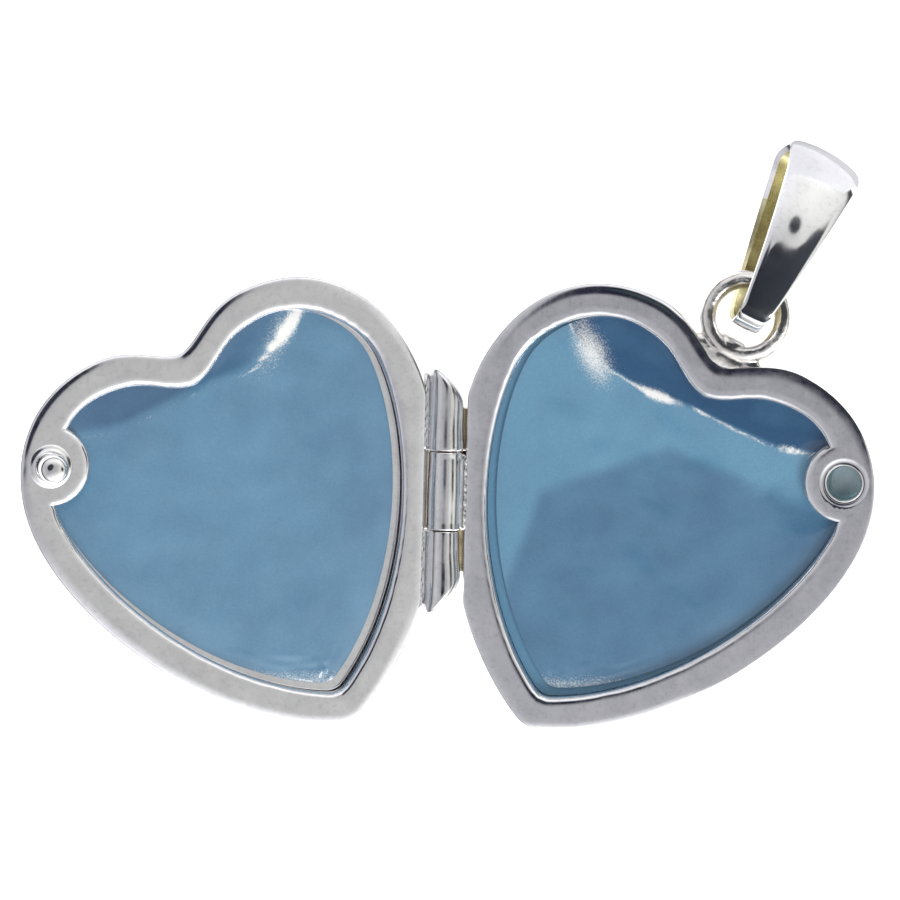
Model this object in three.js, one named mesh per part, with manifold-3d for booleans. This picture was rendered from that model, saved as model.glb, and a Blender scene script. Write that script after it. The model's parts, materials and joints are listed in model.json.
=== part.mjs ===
// A heart-shaped silver locket, open, with a photo cover in each half and a chain bail on its ring.
// Millimetres, +Z up. It stands on its two domed shells, with the hinge along Y at the middle:
// the rear half lies towards +X and carries the ring and bail, the front half towards -X.
import * as THREE from "three";
import { ParametricGeometry } from "three/addons/geometries/ParametricGeometry.js";
import { mergeVertices } from "three/addons/utils/BufferGeometryUtils.js";
import Module from "manifold-3d";

const wasm = await Module();
wasm.setup();

// ------------------------------------------------------------------ driving dimensions

// Half a heart outline in the heart's own frame, x to the side and y towards the lobes: cubic Bezier
// curves end to end, from the cleft over the lobe and the widest point, down to the rounded tip.
const RIM_OUTLINE = [
  [0, 7.4], [0.9, 7.5], [1.8, 8.7],
  [3.5, 8.7], [7.1, 8.7], [9.05, 5.9],
  [9.05, 2.9], [9.05, -1.7], [5.2, -8.15],
  [0.6, -10.15], [0.4, -10.25], [0.2, -10.3],
  [0, -10.3],
];
const OPENING_OUTLINE = [
  [0, 5.85], [1.5, 6.05], [1.6, 7.2],
  [3.9, 7.2], [5.8, 7.2], [7.65, 5.2],
  [7.65, 3.35], [7.65, -0.6], [4.65, -6.35],
  [0.4, -8.65], [0.25, -8.73], [0.1, -8.75],
  [0, -8.75],
];
const CURVE_STEPS = [7, 9, 13, 2]; // straight steps that stand for each of the curves

// Each half in its own frame: x away from the hinge axis, y along it, z out of the open face.
const HEART_CENTRE = new THREE.Vector2(8.3, -0.85);
const HEART_LEAN = 26.6; // degrees that the lobes lean away from the hinge
const HINGE_FLAT = 0.87; // hinge axis to the flat edge that the knuckles are soldered to
const FOLD = 16.5; // degrees by which the open halves fall short of lying flat

// Heights in that frame, from the hinge axis down to the back of the dome.
const FACE = -0.03; // the rims' faces stay just apart when the locket is shut
const RIM_THICKNESS = 0.5;
const SEAM = 0.03; // gap between pieces that touch
const SHELL_TOP = FACE - RIM_THICKNESS - SEAM;
const SHELL_SIDE = -1.2; // the shell's wall is straight down to here, then domed
const SHELL_BACK = -2.9;
const SHELL_WALL = 0.35;
const DOME_STEPS = 5;

// The rim: a flat plate, and a collar round the opening with a seat for the photo cover at its foot.
const RIM_ROUNDING = 0.15;
const COLLAR_WALL = 0.35;
const COLLAR_BOTTOM = -1.05;
const SEAT_WINDOW = 0.89; // the seat's window, as a share of the opening
const SEAT_TOP = -0.8;
const GROOVE = 0.2; // depth of the groove in the collar that holds the cover's edge
const GROOVE_TOP = -0.54;

// The photo cover is a little smaller than the opening and lies against its outer side, with its
// edge in the groove there, so a strip of the seat shows along the hinge and by the tip.
const COVER_SCALE = 0.98;
const COVER_SHIFT = new THREE.Vector2(0.25, 0.2);
const COVER_THICKNESS = 0.2;

// The catch: a peg on the front half's ear snaps into a socket in the rear half's.
const CATCH = new THREE.Vector2(7.08, 5.5); // in the heart's frame
const EAR_RADIUS = 1.7;
const SOCKET_BORE = 0.725;
const SOCKET_WALL = 0.135;
const SOCKET_BOTTOM = -1.4;
const DISH_RADIUS = 1.02;
const DISH_DEPTH = 0.2;
const PEG_SHANK = 0.34;
const PEG_PROFILE = [ // radius, and height above the rim's face
  [PEG_SHANK, SEAM],
  [0.92, SEAM],
  [0.92, 0.1],
  [0.7, 0.25],
  [0.5, 0.3],
  [0.5, 0.45],
  [0.65, 0.62],
  [0.65, 0.8],
  [0.52, 1.02],
  [0.28, 1.14],
  [0, 1.17],
];
const PEG_RIVET_RADIUS = 0.6;
const PEG_RIVET_HEIGHT = 0.18;

// The hinge.
const KNUCKLE_RADIUS = 0.74;
const KNUCKLE_BORE = 0.38;
const PIN_RADIUS = 0.33;
const MIDDLE_KNUCKLE = 3.36; // length of the rear half's knuckle
const HINGE_LENGTH = 10.3; // over all three knuckles, along their soldered side
const KNUCKLE_GAP = 0.05;
const KNUCKLE_SLANT = 41; // degrees that the outer knuckles' ends are cut back
const PIN_LENGTH = 6.6;
const WEB_TOP = -0.08; // the solder web joins a knuckle to its rim, below the rim's face
const WEB_ROOT = 0.3;

// The ring, soldered into the cleft of the rear half.
const RING_CENTRE = new THREE.Vector2(0, 9.75); // in the heart's frame
const RING_HEIGHT = -0.35;
const RING_RADIUS = 1.6; // to the middle of the wire
const RING_WIRE = 0.4;
const SADDLE = new THREE.Vector3(2.2, 1.3, 0.6); // the solder between ring and cleft

// The bail: a strap bent into a loop that is wider and deeper at the top, hung on the ring.
// In its own frame x runs across it, y along it from the ring's wire, z out of its front.
const BAIL_STRAP = 0.35;
const BAIL_FOOT = { y: -0.95, radius: 1.3, width: 1.2 };
const BAIL_HEAD = { y: 5.1, radius: 1.75, width: 3.5 };
const BAIL_CORNER = 0.7;
const BAIL_SHIFT = 0.05; // along the ring's wire
const BAIL_HEADING = 21.5; // degrees from the hinge's direction, seen from above
const BAIL_DROOP = 18.5;
const BAIL_ROLL = 7;

// ------------------------------------------------------------------ solids

const WELD = 1e-3;
const BIG = 60; // a cutting block this size clears the whole locket
const ROUND = 28; // sides of a round part
const WIRE_SIDES = 10;
const RING_SIDES = 36;
const STRAP_STEPS = 9; // straight steps in each half turn of the bail
const CORNER_STEPS = 3;

// A closed geometry as a solid that can be joined and cut.
function solid(geometry) {
  const bare = new THREE.BufferGeometry();
  const source = geometry.index ? geometry.toNonIndexed() : geometry;
  bare.setAttribute("position", source.getAttribute("position"));
  const merged = mergeVertices(bare, WELD);
  const corners = merged.index.array;
  const kept = [];
  for (let i = 0; i < corners.length; i += 3) {
    const [a, b, c] = corners.slice(i, i + 3);
    if (a !== b && b !== c && c !== a) kept.push(a, b, c);
  }
  return new wasm.Manifold(new wasm.Mesh({
    numProp: 3,
    vertProperties: merged.attributes.position.array,
    triVerts: new Uint32Array(kept),
  }));
}

function geometryOf(shape) {
  const { vertProperties, triVerts } = shape.getMesh();
  const geometry = new THREE.BufferGeometry();
  geometry.setAttribute("position", new THREE.BufferAttribute(vertProperties, 3));
  geometry.setIndex(new THREE.BufferAttribute(triVerts, 1));
  return geometry;
}

function union(...shapes) {
  return shapes.reduce((sum, shape) => sum.add(shape));
}

// The outline's area between two heights.
function prism(outline, low, high) {
  const settings = { depth: high - low, bevelEnabled: false };
  const block = new THREE.ExtrudeGeometry(new THREE.Shape(outline), settings);
  return solid(block.translate(0, 0, low));
}

// A disc or post that stands along z.
function post(centre, radius, low, high) {
  const cylinder = new THREE.CylinderGeometry(radius, radius, high - low, ROUND);
  cylinder.rotateX(Math.PI / 2);
  return solid(cylinder.translate(centre.x, centre.y, (low + high) / 2));
}

// A rod along y, where the hinge runs.
function rod(radius, low, high) {
  const cylinder = new THREE.CylinderGeometry(radius, radius, high - low, ROUND);
  return solid(cylinder.translate(0, (low + high) / 2, 0));
}

// A round part turned about z, from [radius, height] pairs that run from axis to axis.
function turned(profile, centre) {
  const lathe = new THREE.LatheGeometry(profile.map(([r, z]) => new THREE.Vector2(r, z)), ROUND);
  lathe.rotateX(Math.PI / 2);
  return solid(lathe.translate(centre.x, centre.y, 0));
}

function box(low, high) {
  const size = new THREE.Vector3().subVectors(high, low);
  const middle = new THREE.Vector3().addVectors(low, high).multiplyScalar(0.5);
  const block = new THREE.BoxGeometry(size.x, size.y, size.z);
  return solid(block.translate(middle.x, middle.y, middle.z));
}

// ------------------------------------------------------------------ the heart's outlines

function toHalf(point) {
  const lean = THREE.MathUtils.degToRad(HEART_LEAN);
  return point.clone().rotateAround(new THREE.Vector2(), -lean).add(HEART_CENTRE);
}

// A whole heart, counter-clockwise from the cleft, in the half's frame.
function heart(outline) {
  const points = outline.map(([x, y]) => new THREE.Vector2(x, y));
  const right = CURVE_STEPS.flatMap((steps, i) => {
    const curve = new THREE.CubicBezierCurve(...points.slice(3 * i, 3 * i + 4));
    return curve.getPoints(steps).slice(0, -1);
  });
  const left = right.slice(1).map((p) => new THREE.Vector2(-p.x, p.y));
  const tip = points.at(-1);
  return [right[0], ...left, tip, ...right.slice(1).reverse()].map(toHalf);
}

// The same outline moved out by a distance, or in by a negative one, with mitred corners.
function grown(outline, distance) {
  const count = outline.length;
  const normals = outline.map((point, i) => {
    const edge = outline[(i + 1) % count].clone().sub(point).normalize();
    return new THREE.Vector2(edge.y, -edge.x);
  });
  return outline.map((point, i) => {
    const before = normals[(i + count - 1) % count];
    const after = normals[i];
    const reach = distance / (1 + before.dot(after));
    return point.clone().addScaledVector(before, reach).addScaledVector(after, reach);
  });
}

// The same outline shrunk towards the heart's middle.
function scaled(outline, scale) {
  return outline.map((point) => new THREE.Vector2().lerpVectors(HEART_CENTRE, point, scale));
}

const opening = heart(OPENING_OUTLINE);
const rimEdge = heart(RIM_OUTLINE).map((p) => new THREE.Vector2(Math.max(p.x, HINGE_FLAT), p.y));
const catchPlace = toHalf(CATCH);

// ------------------------------------------------------------------ pieces of either half

// The rim with its collar, and an ear across the opening for the catch.
function rim() {
  const plate = new THREE.ExtrudeGeometry(new THREE.Shape(rimEdge), {
    depth: RIM_THICKNESS - 2 * RIM_ROUNDING,
    bevelThickness: RIM_ROUNDING,
    bevelSize: RIM_ROUNDING,
    bevelOffset: -RIM_ROUNDING,
    bevelSegments: 2,
  }).translate(0, 0, FACE - RIM_THICKNESS + RIM_ROUNDING);
  const collar = prism(grown(opening, COLLAR_WALL), COLLAR_BOTTOM, FACE - RIM_ROUNDING);
  const ear = post(catchPlace, EAR_RADIUS, SHELL_BACK, -FACE);
  const hole = prism(opening, SEAT_TOP, -FACE);
  const groove = prism(grown(opening, GROOVE), SEAT_TOP, GROOVE_TOP);
  const window = prism(scaled(opening, SEAT_WINDOW), SHELL_BACK, -FACE);
  const underEar = post(catchPlace, EAR_RADIUS - COLLAR_WALL, SHELL_BACK, FACE - RIM_THICKNESS);
  return union(solid(plate), collar)
    .subtract(union(hole, groove, window).subtract(ear))
    .subtract(underEar);
}

function rearRim() {
  const faceRadius = DISH_RADIUS + SEAM;
  const floorRadius = SOCKET_BORE + SOCKET_WALL;
  const dish = turned([[0, FACE - DISH_DEPTH], [floorRadius, FACE - DISH_DEPTH],
    [DISH_RADIUS, FACE], [faceRadius, -FACE], [0, -FACE]], catchPlace);
  const bore = post(catchPlace, floorRadius + SEAM, SHELL_BACK, FACE - DISH_DEPTH + SEAM);
  return rim().subtract(dish).subtract(bore);
}

function frontRim() {
  return rim().subtract(post(catchPlace, PEG_SHANK + SEAM, SHELL_BACK, -FACE));
}

// The clear cover that snaps in under the rim and holds a cut photograph flat.
function photoCover() {
  const bottom = SEAT_TOP + SEAM;
  const edge = scaled(opening, COVER_SCALE).map((point) => point.add(COVER_SHIFT));
  const sheet = prism(edge, bottom, bottom + COVER_THICKNESS);
  return sheet.subtract(post(catchPlace, EAR_RADIUS + SEAM, SHELL_BACK, -FACE));
}

// The domed back: rings of the outline that shrink towards the middle as the dome falls away.
function shell() {
  const domeRings = (wall) => {
    const edge = grown(rimEdge, -wall);
    const drop = SHELL_BACK + wall - SHELL_SIDE;
    const dome = Array.from({ length: DOME_STEPS + 1 }, (_, i) => {
      const angle = (Math.PI / 2) * (i / DOME_STEPS);
      return { ring: scaled(edge, Math.cos(angle)), height: SHELL_SIDE + drop * Math.sin(angle) };
    });
    return [{ ring: edge, height: SHELL_TOP }, ...dome];
  };
  const rings = [...domeRings(0).reverse(), ...domeRings(SHELL_WALL)];
  const surface = (around, across, target) => {
    const { ring, height } = rings[Math.round(across * (rings.length - 1))];
    const point = ring[Math.round(around * ring.length) % ring.length];
    target.set(point.x, point.y, height);
  };
  return solid(new ParametricGeometry(surface, rimEdge.length, rings.length - 1));
}

// ------------------------------------------------------------------ hinge

// A knuckle with its solder web, before its bore is drilled.
function knuckle(low, high) {
  const webLow = new THREE.Vector3(WEB_ROOT, low, FACE - RIM_THICKNESS);
  const webHigh = new THREE.Vector3(HINGE_FLAT - SEAM, high, WEB_TOP);
  return rod(KNUCKLE_RADIUS, low, high).add(box(webLow, webHigh));
}

function middleKnuckle() {
  const end = MIDDLE_KNUCKLE / 2;
  return knuckle(-end, end).subtract(rod(KNUCKLE_BORE, -BIG, BIG));
}

// An outer knuckle, blind at its outer end, which slants back from the rim. side is 1 at the lobes.
function outerKnuckle(side) {
  const inner = MIDDLE_KNUCKLE / 2 + KNUCKLE_GAP;
  const slant = new THREE.BoxGeometry(BIG, BIG, BIG)
    .translate(0, BIG / 2, 0)
    .rotateZ(THREE.MathUtils.degToRad(KNUCKLE_SLANT))
    .translate(KNUCKLE_RADIUS, HINGE_LENGTH / 2, 0);
  const upper = knuckle(inner, HINGE_LENGTH / 2)
    .subtract(solid(slant))
    .subtract(rod(KNUCKLE_BORE, -BIG, PIN_LENGTH / 2 + SEAM));
  return side > 0 ? upper : upper.mirror([0, 1, 0]);
}

function hingePin() {
  return rod(PIN_RADIUS, -PIN_LENGTH / 2, PIN_LENGTH / 2);
}

// ------------------------------------------------------------------ catch

function catchPeg() {
  const underside = -RIM_THICKNESS - SEAM;
  const rivet = [
    [0, underside - PEG_RIVET_HEIGHT],
    [PEG_RIVET_RADIUS, underside - PEG_RIVET_HEIGHT],
    [PEG_RIVET_RADIUS, underside],
    [PEG_SHANK, underside],
  ];
  return turned([...rivet, ...PEG_PROFILE].map(([r, z]) => [r, z + FACE]), catchPlace);
}

function catchSocket() {
  const outside = SOCKET_BORE + SOCKET_WALL;
  const top = FACE - DISH_DEPTH;
  return turned([[0, SOCKET_BOTTOM], [outside, SOCKET_BOTTOM], [outside, top],
    [SOCKET_BORE, top], [SOCKET_BORE, SOCKET_BOTTOM + SOCKET_WALL],
    [0, SOCKET_BOTTOM + SOCKET_WALL]], catchPlace);
}

// ------------------------------------------------------------------ ring and bail

// The ring with the saddle of solder that fills the cleft under it.
function bailRing() {
  const centre = toHalf(RING_CENTRE);
  const lean = THREE.MathUtils.degToRad(-HEART_LEAN);
  const wire = new THREE.TorusGeometry(RING_RADIUS, RING_WIRE, WIRE_SIDES, RING_SIDES);
  const saddle = new THREE.BoxGeometry(...SADDLE.toArray())
    .translate(0, -RING_RADIUS - SADDLE.y / 2, 0)
    .rotateZ(lean);
  for (const piece of [wire, saddle]) piece.translate(centre.x, centre.y, RING_HEIGHT);
  const heartEdge = prism(grown(rimEdge, SEAM), SHELL_BACK, BIG);
  return union(solid(wire), solid(saddle)).subtract(heartEdge);
}

// The strap is the band between two loops, cut to the taper of its front.
function bail() {
  const loop = (inset) => {
    const foot = BAIL_FOOT.radius - inset;
    const head = BAIL_HEAD.radius - inset;
    const lean = Math.asin((head - foot) / (BAIL_HEAD.y - BAIL_FOOT.y));
    const profile = new THREE.Shape();
    profile.absarc(BAIL_HEAD.y, 0, head, -Math.PI / 2 - lean, Math.PI / 2 + lean, false);
    profile.absarc(BAIL_FOOT.y, 0, foot, Math.PI / 2 + lean, 1.5 * Math.PI - lean, false);
    const settings = { depth: BIG, bevelEnabled: false, curveSegments: STRAP_STEPS };
    return solid(new THREE.ExtrudeGeometry(profile, settings).translate(0, 0, -BIG / 2)
      .rotateZ(Math.PI / 2).rotateY(Math.PI / 2));
  };
  const top = BAIL_HEAD.y + BAIL_HEAD.radius;
  const bottom = BAIL_FOOT.y - BAIL_FOOT.radius;
  const front = new THREE.Shape();
  front.moveTo(-BAIL_FOOT.width / 2, bottom);
  front.lineTo(BAIL_FOOT.width / 2, bottom);
  front.lineTo(BAIL_HEAD.width / 2, top - BAIL_CORNER);
  front.quadraticCurveTo(BAIL_HEAD.width / 2, top, BAIL_HEAD.width / 2 - BAIL_CORNER, top);
  front.lineTo(BAIL_CORNER - BAIL_HEAD.width / 2, top);
  front.quadraticCurveTo(-BAIL_HEAD.width / 2, top, -BAIL_HEAD.width / 2, top - BAIL_CORNER);
  const taper = prism(front.getPoints(CORNER_STEPS), -BIG / 2, BIG / 2);
  return loop(0).subtract(loop(BAIL_STRAP)).intersect(taper);
}

// ------------------------------------------------------------------ materials and assembly

function metal(color, roughness) {
  return new THREE.MeshStandardMaterial({ color, roughness, metalness: 1 });
}

const polished = { color: 0xdcdce0, roughness: 0.18 };
const satin = { color: 0xc9cad0, roughness: 0.35 };
const cast = { color: 0xd8d6d0, roughness: 0.4 };

function silver({ color, roughness }) {
  return metal(color, roughness);
}

function bluePlastic() {
  return new THREE.MeshStandardMaterial({ color: 0x5f96b9, roughness: 0.2, metalness: 0 });
}

function piece(name, shape, material) {
  const mesh = new THREE.Mesh(geometryOf(shape), material);
  mesh.name = name;
  return mesh;
}

const rearHalf = new THREE.Group();
rearHalf.rotation.y = THREE.MathUtils.degToRad(-FOLD / 2);
rearHalf.add(
  piece("rear_shell", shell(), silver(polished)),
  piece("rear_rim", rearRim(), silver(satin)),
  piece("rear_photo_cover", photoCover(), bluePlastic()),
  piece("catch_socket", catchSocket(), silver(polished)),
  piece("hinge_knuckle_middle", middleKnuckle(), silver(polished)),
  piece("bail_ring", bailRing(), silver(cast)),
);

const frontHalf = new THREE.Group();
frontHalf.rotation.y = THREE.MathUtils.degToRad(FOLD / 2);
frontHalf.scale.x = -1; // the front half is the rear half's mirror image
frontHalf.add(
  piece("front_shell", shell(), silver(polished)),
  piece("front_rim", frontRim(), silver(satin)),
  piece("front_photo_cover", photoCover(), bluePlastic()),
  piece("catch_peg", catchPeg(), silver(polished)),
  piece("hinge_knuckle_upper", outerKnuckle(1), silver(polished)),
  piece("hinge_knuckle_lower", outerKnuckle(-1), silver(polished)),
  piece("hinge_pin", hingePin(), silver(satin)),
);

const locket = new THREE.Group();
locket.add(rearHalf, frontHalf);
locket.updateMatrixWorld(true);

const hungBail = piece("bail", bail(), silver(polished));
const wirePlace = toHalf(new THREE.Vector2(BAIL_SHIFT, RING_CENTRE.y + RING_RADIUS));
hungBail.position.copy(rearHalf.localToWorld(new THREE.Vector3(wirePlace.x, wirePlace.y, RING_HEIGHT)));
hungBail.rotation.set(
  THREE.MathUtils.degToRad(-BAIL_DROOP),
  THREE.MathUtils.degToRad(BAIL_ROLL),
  THREE.MathUtils.degToRad(-BAIL_HEADING),
  "ZXY",
);
locket.add(hungBail);

// The origin is under the middle of the locket's box, on the surface that it lies on.
const bounds = new THREE.Box3().setFromObject(locket, true);
const middle = bounds.getCenter(new THREE.Vector3());
locket.position.set(-middle.x, -middle.y, -bounds.min.z);

export default locket;
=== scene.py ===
import json
import math

import bmesh
import bpy
from mathutils import Matrix, Vector, noise
from mathutils.kdtree import KDTree


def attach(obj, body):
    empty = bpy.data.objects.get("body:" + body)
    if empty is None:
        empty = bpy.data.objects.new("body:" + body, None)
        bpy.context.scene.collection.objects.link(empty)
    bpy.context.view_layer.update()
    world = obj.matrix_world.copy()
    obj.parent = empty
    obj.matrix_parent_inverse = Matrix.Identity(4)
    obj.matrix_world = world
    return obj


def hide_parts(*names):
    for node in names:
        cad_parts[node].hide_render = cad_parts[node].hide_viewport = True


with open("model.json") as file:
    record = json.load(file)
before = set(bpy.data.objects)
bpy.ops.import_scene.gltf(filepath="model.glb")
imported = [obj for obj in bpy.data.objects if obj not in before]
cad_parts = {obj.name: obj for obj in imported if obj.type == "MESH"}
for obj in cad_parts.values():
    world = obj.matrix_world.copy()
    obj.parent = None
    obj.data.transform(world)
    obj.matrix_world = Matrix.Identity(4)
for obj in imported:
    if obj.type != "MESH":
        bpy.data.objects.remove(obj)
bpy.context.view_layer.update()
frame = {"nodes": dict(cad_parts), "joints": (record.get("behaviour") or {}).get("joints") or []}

# An open silver heart locket. Sizes are in millimetres in a half's own frame: x away from the hinge
# axis, y along it towards the lobes, z out of the open face. make() scales them to metres.
MM = 0.001
JOINTS = {joint["name"]: joint for joint in frame["joints"]}
HINGE = Vector(JOINTS["front_hinge"]["pos_m"])
BAIL_PIVOT = Vector(JOINTS["bail_swing"]["pos_m"])
FOLD = math.radians(-JOINTS["front_hinge"]["range_deg"][0])
SIDES = {"rear": 1, "front": -1}

# Edges that bend more than this many degrees are shaded as edges.
SHARP_CREASE = 32
SOFT_CREASE = 60

# The right half of an upright heart, about its own middle: cubic Bezier curves end to end, from
# the cleft over the lobe to the tip. to_half() leans it into a half's frame, and CATCH and
# RING_CENTRE with it.
RIM_OUTLINE = [
    (0, 7.4), (0.9, 7.5), (1.8, 8.7),
    (3.5, 8.7), (7.1, 8.7), (9.05, 5.9),
    (9.05, 2.9), (9.05, -1.7), (5.2, -8.15),
    (0.6, -10.15), (0.4, -10.25), (0.2, -10.3),
    (0, -10.3),
]
OPENING_OUTLINE = [
    (0, 5.85), (1.5, 6.05), (1.6, 7.2),
    (3.9, 7.2), (5.8, 7.2), (7.65, 5.2),
    (7.65, 3.35), (7.65, -0.6), (4.65, -6.35),
    (0.4, -8.65), (0.25, -8.73), (0.1, -8.75),
    (0, -8.75),
]
FINE_STEPS = (30, 80, 70, 8)
COARSE_STEPS = (16, 46, 36, 4)
HEART_CENTRE = Vector((8.3, -0.85))
HEART_LEAN = math.radians(26.6)
HINGE_FLAT = 0.87
CATCH = Vector((7.08, 5.5))
EAR_RADIUS = 1.7
EAR_FILLET = 0.2
EAR_SHARE = 0.62
EAR_STRETCH = 0.03

FACE = -0.03
RIM_THICKNESS = 0.5
SEAM = 0.03
INNER_EDGE = {"reach": 0.45, "depth": 0.04, "round": 0.25}  # how the rim's face falls to its edges
OUTER_EDGE = {"reach": 0.5, "depth": 0.08, "round": 0.14}
CRISP_FROM = (9.5, 12.5)  # where the rear rim's outer edge turns crisp, on its far side
FILE_MARKS = 0.04
FACE_STEPS = 30
LIP_BOTTOM = -0.5
GROOVE = 0.2
GROOVE_TOP = -0.54
SEAT_TOP = -0.8
SEAT_WINDOW = 0.89
COLLAR_WALL = 0.35
COLLAR_BOTTOM = -1.05

SHELL_TOP = FACE - RIM_THICKNESS - SEAM
SHELL_SIDE = -1.2
SHELL_BACK = -2.9
SHELL_WALL = 0.35
SHELL_REACH = 7.5  # about how far the rim lies from HEART_CENTRE
DOME_STEPS = 16

FILM_SCALE = 0.98
FILM_SHIFT = Vector((0.25, 0.2))
FILM_EDGE = -0.6
FILM_THICKNESS = 0.12
FILM_RINGS = 70
CARD_RINGS = 4
CREASES = {
    SIDES["rear"]: [Vector(p) for p in (
        (4.7, 8.2), (5.4, 6.7), (6.9, 5.35), (8.6, 4.45),
        (10.5, 3.85), (12.4, 2.95), (14.0, 2.3), (16.6, 1.9),
    )],
    SIDES["front"]: [Vector(p) for p in (
        (5.9, 8.4), (6.5, 7.4), (7.4, 6.3), (8.4, 5.0),
        (10.5, 4.2), (12.4, 3.2), (14.0, 2.4), (16.6, 1.9),
    )],
}
CARD_TOP = -0.74
CARD_THICKNESS = 0.04
FRONT_CARD_SCALE = 0.97

DISH_RADIUS = (0.9, 1.1)
DISH_DEPTH = 0.04
PEG_LEAN = (0.06, 0.1)
PEG_NECK = 0.3
SOCKET_BORE = 0.725
SOCKET_WALL = 0.135
SOCKET_BOTTOM = -1.4
SOCKET_DROP = 0.07  # how far its rim starts below the dish

KNUCKLE_RADIUS = 0.76
KNUCKLE_BORE = 0.38
KNUCKLE_ROUNDING = 0.07
KNUCKLE_WAVE = 0.012
SLANT_ROUNDING = 0.56
GUTTER_RADIUS = 0.84
GUTTER_BOTTOM = -0.9
GUTTER_STOP = 2.2
MIDDLE_KNUCKLE = 3.36
HINGE_LENGTH = 11.4
KNUCKLE_GAP = 0.05
KNUCKLE_SLANT = math.radians(45)
MIDDLE_TAPER = 0.04
OUTER_KNUCKLES = [("upper", 1, 0.04), ("lower", -1, -0.12)]  # name, way it points, taper
WEB_STOP = 0.6  # how far a web ends before its outer knuckle does

RING_CENTRE = Vector((0, 9.75))
RING_HEIGHT = -0.35
RING_RADIUS = 1.6
RING_WIRE = 0.4
RING_VOXEL = 0.04
RING_SMOOTHING = 8

BAIL_STRAP = 0.35
BAIL_FOOT = {"y": -0.95, "radius": 1.3, "width": 1.2}
BAIL_HEAD = {"y": 4.85, "radius": 1.7, "width": 3.6}
BAIL_CORNER = 0.9
BAIL_CROWN = 0.26
BAIL_NARROWING = 0.26
BAIL_SKEW = 0.15
BAIL_BULGE = 0.2
BAIL_SMOOTHING = 24
BAIL_TURN = (math.radians(-18.5), math.radians(5), math.radians(-25.5))  # droop, roll and heading


# ------------------------------------------------------------------ outlines

def ease(value, start, end):
    """0 at start, 1 at end, and smooth between them."""
    share = min(1.0, max(0.0, (value - start) / (end - start)))
    return share * share * (3 - 2 * share)


def bezier(a, b, c, d, t):
    s = 1 - t
    return a * s ** 3 + b * 3 * s * s * t + c * 3 * s * t * t + d * t ** 3


def crowded(share, curve):
    """Steps that crowd on the stretch of the second curve that passes the ear."""
    if curve != 1:
        return share
    low, high = -EAR_SHARE / EAR_STRETCH, (1 - EAR_SHARE) / EAR_STRETCH
    spread = math.asinh(low) + (math.asinh(high) - math.asinh(low)) * share
    return EAR_SHARE + EAR_STRETCH * math.sinh(spread)


def to_half(point):
    turned = Matrix.Rotation(-HEART_LEAN, 2) @ Vector(point)
    return turned + HEART_CENTRE


def heart(outline, steps):
    """A whole heart in the half's frame, counter-clockwise from the cleft."""
    knots = [Vector(p) for p in outline]
    right = []
    for i, count in enumerate(steps):
        a, b, c, d = knots[3 * i:3 * i + 4]
        right += [bezier(a, b, c, d, crowded(k / count, i)) for k in range(count)]
    left = [Vector((-p.x, p.y)) for p in right[1:]]
    return [to_half(p) for p in [right[0], *left, knots[-1], *reversed(right[1:])]]


def rim_edge(steps):
    return [Vector((max(p.x, HINGE_FLAT), p.y)) for p in heart(RIM_OUTLINE, steps)]


EAR = to_half(CATCH)


def around_ear(outline, radius):
    """The outline kept clear of the ear: points near it move out, with a fillet where they leave it."""
    moved = []
    for point in outline:
        away = point - EAR
        beyond = (away.length - radius) / EAR_FILLET
        pushed = radius + EAR_FILLET * math.log1p(math.exp(beyond)) if beyond < 9 else away.length
        moved.append(EAR + away.normalized() * pushed)
    return moved


# ------------------------------------------------------------------ meshes

def grid_faces(rows, columns, wrap_rows=True, wrap_columns=True):
    faces = []
    for i in range(rows if wrap_rows else rows - 1):
        for j in range(columns if wrap_columns else columns - 1):
            k, m = (i + 1) % rows, (j + 1) % columns
            faces.append((i * columns + j, k * columns + j, k * columns + m, i * columns + m))
    return faces


def mesh_of(name, points, faces):
    mesh = bpy.data.meshes.new(name)
    mesh.from_pydata([Vector(p) for p in points], [], faces)
    tidy = bmesh.new()
    tidy.from_mesh(mesh)
    bmesh.ops.remove_doubles(tidy, verts=tidy.verts, dist=1e-4)
    bmesh.ops.dissolve_degenerate(tidy, edges=tidy.edges, dist=1e-5)
    bmesh.ops.recalc_face_normals(tidy, faces=tidy.faces)
    tidy.to_mesh(mesh)
    tidy.free()
    return mesh


def turned(name, profile, centre, sides=72):
    """A round part turned about z from [radius, height] pairs that start and end on its axis."""
    points = []
    for k in range(sides):
        angle = 2 * math.pi * k / sides
        out = Vector((math.cos(angle), math.sin(angle)))
        for radius, height in profile:
            place = centre + out * radius
            points.append((place.x, place.y, height))
    return mesh_of(name, points, grid_faces(sides, len(profile), wrap_columns=False))


def evaluated(mesh, add_modifier):
    """The mesh with one modifier applied."""
    holder = bpy.data.objects.new("holder", mesh)
    bpy.context.scene.collection.objects.link(holder)
    add_modifier(holder)
    graph = bpy.context.evaluated_depsgraph_get()
    result = bpy.data.meshes.new_from_object(holder.evaluated_get(graph))
    bpy.data.objects.remove(holder)
    return result


def cut(mesh, cutter):
    tool = bpy.data.objects.new("tool", cutter)
    bpy.context.scene.collection.objects.link(tool)

    def subtract(holder):
        modifier = holder.modifiers.new("cut", "BOOLEAN")
        modifier.operation = "DIFFERENCE"
        modifier.solver = "EXACT"
        modifier.object = tool

    result = evaluated(mesh, subtract)
    bpy.data.objects.remove(tool)
    return result


def remeshed(mesh, voxel, smoothing):
    def remesh(holder):
        modifier = holder.modifiers.new("remesh", "REMESH")
        modifier.mode = "VOXEL"
        modifier.voxel_size = voxel
        soften = holder.modifiers.new("soften", "SMOOTH")
        soften.factor = 0.5
        soften.iterations = smoothing

    return evaluated(mesh, remesh)


def joined(name, *meshes):
    whole = bmesh.new()
    for mesh in meshes:
        whole.from_mesh(mesh)
    result = bpy.data.meshes.new(name)
    whole.to_mesh(result)
    whole.free()
    return result


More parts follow.
